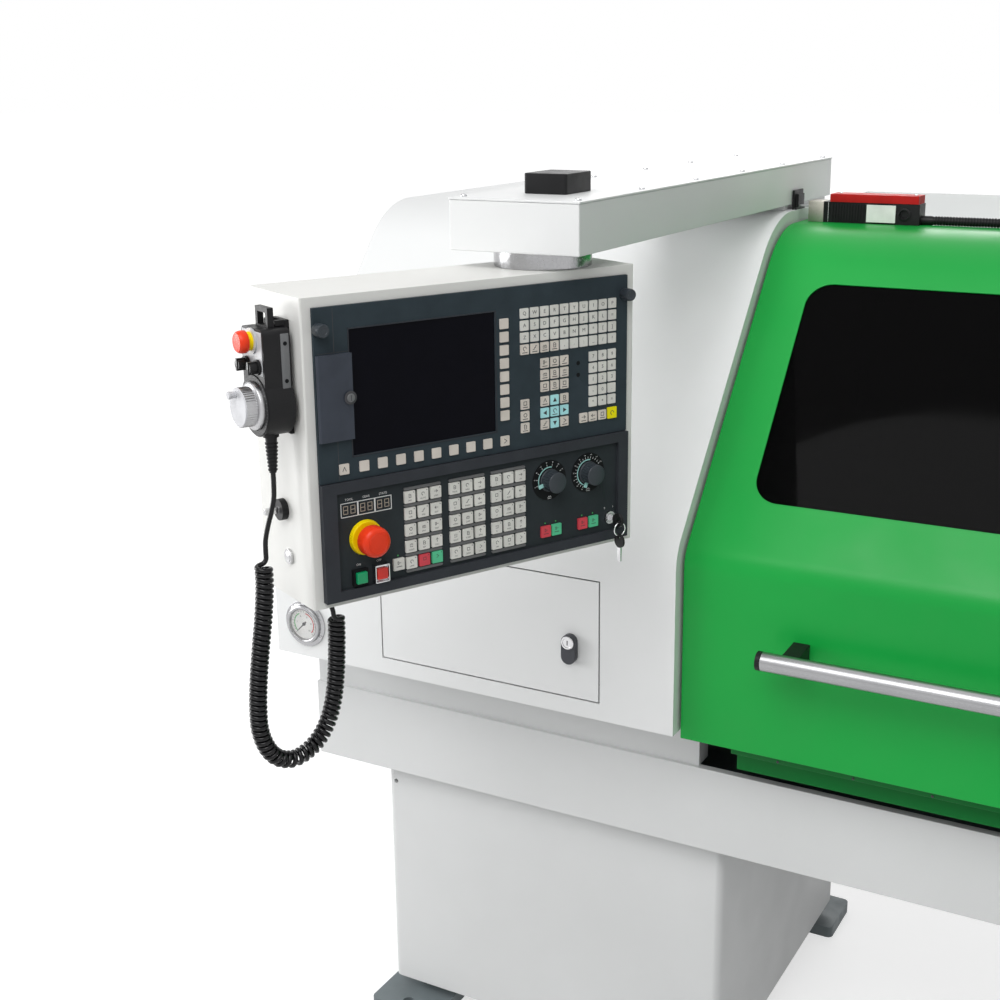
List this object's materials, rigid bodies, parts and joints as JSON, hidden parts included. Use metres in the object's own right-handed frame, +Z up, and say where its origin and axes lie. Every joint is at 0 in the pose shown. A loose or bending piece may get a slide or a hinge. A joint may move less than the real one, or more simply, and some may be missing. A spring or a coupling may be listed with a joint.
{
  "type": "cnc turning lathe",
  "caption": "Guarded flat-bed turning lathe with numerical control: sliding door with a dark window, control pendant on a swivel arm, hand unit on a curly cord, chuck, turret and tailstock.",
  "frame": {"origin": "centre of the four outer anchor holes, at the floor", "axes": "+X from headstock to tailstock, +Y to the rear, +Z up"},
  "size_m": [2.8, 1.991, 1.712],
  "materials": {
    "cover_white": "satin paint",
    "door_green": "gloss paint",
    "base_grey": "satin paint",
    "cast_grey": "painted casting",
    "slide_grey": "ground casting",
    "steel": "ground steel",
    "tube_silver": "brushed",
    "pane_dark": "tinted",
    "panel_slate": "matte film",
    "key_pale": "matte",
    "screen_black": "gloss",
    "black_plastic": "fine grain",
    "red_plastic": "gloss",
    "green_plastic": "gloss",
    "yellow_plastic": "satin",
    "cord_black": "matte",
    "copper_winding": "varnish",
    "motor_black": "satin paint"
  },
  "bodies": {
    "machine_frame": {"foot_plates": "cast_grey", "jack_screws": "steel", "left_pedestal": "base_grey", "right_pedestal": "base_grey", "chip_tray": "base_grey", "bed": "cast_grey", "headstock": "cast_grey", "spindle_motor": "copper_winding", "left_cover": "cover_white", "rear_guard": "cover_white", "right_cover": "cover_white", "door_rails": "steel", "pendant_arm": "cover_white", "arm_lid": "cover_white", "cable_hood": "black_plastic", "interlock_bracket": "steel", "pressure_gauge": "steel", "electric_cabinet": "base_grey", "z_motor": "motor_black"},
    "door": {"sliding_door": "door_green", "door_window": "pane_dark", "door_handle": "tube_silver", "handle_brackets": "black_plastic", "interlock_switch": "black_plastic", "interlock_conduit": "black_plastic"},
    "access_panel": {"access_panel": "cover_white"},
    "access_latch": {"access_latch": "black_plastic"},
    "cabinet_door": {"cabinet_door": "base_grey"},
    "spindle": {"spindle": "steel", "chuck": "steel"},
    "carriage": {"carriage": "slide_grey"},
    "cross_slide": {"cross_slide": "slide_grey"},
    "turret": {"turret": "steel"},
    "tailstock": {"tailstock": "slide_grey"},
    "quill": {"quill": "steel"},
    "z_screw": {"z_screw": "steel"},
    "pendant": {"pendant_housing": "cover_white", "swivel_ring": "steel", "display_panel": "panel_slate", "display_screen": "screen_black", "display_keys": "key_pale", "control_panel": "panel_slate", "control_keys": "key_pale", "estop_collar": "yellow_plastic", "hand_unit_holder": "black_plastic", "hand_unit": "black_plastic", "cord_leads": "cord_black", "coil_cord": "cord_black", "side_fittings": "black_plastic"},
    "media_flap": {"media_flap": "panel_slate"},
    "estop_button": {"estop_button": "red_plastic"},
    "feed_knob": {"feed_knob": "black_plastic"},
    "speed_knob": {"speed_knob": "black_plastic"},
    "switch_key": {"switch_key": "steel"},
    "start_button": {"start_button": "green_plastic"},
    "stop_button": {"stop_button": "red_plastic"},
    "hand_unit_stop": {"hand_unit_stop": "red_plastic"},
    "hand_wheel": {"hand_wheel": "steel"},
    "axis_knob": {"axis_knob": "black_plastic"},
    "step_knob": {"step_knob": "black_plastic"}
  },
  "joints": [
    {"name": "door_slide", "type": "slide", "parent": "machine_frame", "child": "door", "axis": [1, 0, 0], "range_m": [0, 0.9]},
    {"name": "access_hinge", "type": "hinge", "parent": "machine_frame", "child": "access_panel", "pos_m": [-1.156, -0.494, 0.9375], "axis": [0, 0, -1], "range_deg": [0, 100]},
    {"name": "latch_turn", "type": "hinge", "parent": "access_panel", "child": "access_latch", "pos_m": [-0.783, -0.5, 0.93328], "axis": [0, 1, 0], "range_deg": [0, 90]},
    {"name": "cabinet_hinge", "type": "hinge", "parent": "machine_frame", "child": "cabinet_door", "pos_m": [-0.443, 0.758, 1.13], "axis": [0, 0, -1], "range_deg": [0, 110]},
    {"name": "spindle_turn", "type": "hinge", "parent": "machine_frame", "child": "spindle", "pos_m": [-0.6, 0, 1.13], "axis": [1, 0, 0], "continuous": true},
    {"name": "carriage_slide", "type": "slide", "parent": "machine_frame", "child": "carriage", "axis": [1, 0, 0], "range_m": [-0.25, 0.25]},
    {"name": "cross_slide_travel", "type": "slide", "parent": "carriage", "child": "cross_slide", "axis": [0, 1, 0], "range_m": [-0.12, 0]},
    {"name": "turret_index", "type": "hinge", "parent": "cross_slide", "child": "turret", "pos_m": [-0.07, 0.3, 1.13], "axis": [1, 0, 0], "continuous": true},
    {"name": "tailstock_slide", "type": "slide", "parent": "machine_frame", "child": "tailstock", "axis": [1, 0, 0], "range_m": [-0.03, 0.3]},
    {"name": "quill_slide", "type": "slide", "parent": "tailstock", "child": "quill", "axis": [-1, 0, 0], "range_m": [0, 0.1]},
    {"name": "z_screw_turn", "type": "hinge", "parent": "machine_frame", "child": "z_screw", "pos_m": [0.3, -0.25, 0.83], "axis": [1, 0, 0], "continuous": true},
    {"name": "pendant_swivel", "type": "hinge", "parent": "machine_frame", "child": "pendant", "pos_m": [-0.706, -0.736, 1.6], "axis": [0, 0, 1], "range_deg": [-45, 45]},
    {"name": "flap_hinge", "type": "hinge", "parent": "pendant", "child": "media_flap", "pos_m": [-0.80589, -1.12612, 1.464], "axis": [0, 0, -1], "range_deg": [0, 110]},
    {"name": "estop_press", "type": "slide", "parent": "pendant", "child": "estop_button", "axis": [-0.8965, 0.4431, 0], "range_m": [0, 0.005], "stiffness_N_per_m": 3000},
    {"name": "feed_turn", "type": "hinge", "parent": "pendant", "child": "feed_knob", "pos_m": [-0.6559, -0.81519, 1.3055], "axis": [0.8965, -0.4431, 0], "range_deg": [-135, 135]},
    {"name": "speed_turn", "type": "hinge", "parent": "pendant", "child": "speed_knob", "pos_m": [-0.62648, -0.75567, 1.3055], "axis": [0.8965, -0.4431, 0], "range_deg": [-135, 135]},
    {"name": "key_turn", "type": "hinge", "parent": "pendant", "child": "switch_key", "pos_m": [-0.60969, -0.72169, 1.2334], "axis": [0.8965, -0.4431, 0], "range_deg": [0, 60]},
    {"name": "start_press", "type": "slide", "parent": "pendant", "child": "start_button", "axis": [-0.8965, 0.4431, 0], "range_m": [0, 0.003], "stiffness_N_per_m": 1500},
    {"name": "stop_press", "type": "slide", "parent": "pendant", "child": "stop_button", "axis": [-0.8965, 0.4431, 0], "range_m": [0, 0.003], "stiffness_N_per_m": 1500},
    {"name": "hand_stop_press", "type": "slide", "parent": "pendant", "child": "hand_unit_stop", "axis": [0.4431, 0.8965, 0], "range_m": [0, 0.004], "stiffness_N_per_m": 2000},
    {"name": "hand_wheel_turn", "type": "hinge", "parent": "pendant", "child": "hand_wheel", "pos_m": [-0.88161, -1.15451, 1.456], "axis": [-0.4431, -0.8965, 0], "continuous": true},
    {"name": "axis_knob_turn", "type": "hinge", "parent": "pendant", "child": "axis_knob", "pos_m": [-0.86727, -1.1616, 1.506], "axis": [-0.4431, -0.8965, 0], "range_deg": [-90, 90]},
    {"name": "step_knob_turn", "type": "hinge", "parent": "pendant", "child": "step_knob", "pos_m": [-0.89595, -1.14742, 1.506], "axis": [-0.4431, -0.8965, 0], "range_deg": [-60, 60]}
  ],
  "couplings": [
    {"joint": "z_screw_turn", "follows": "carriage_slide", "rad_per_m": 314.16}
  ]
}
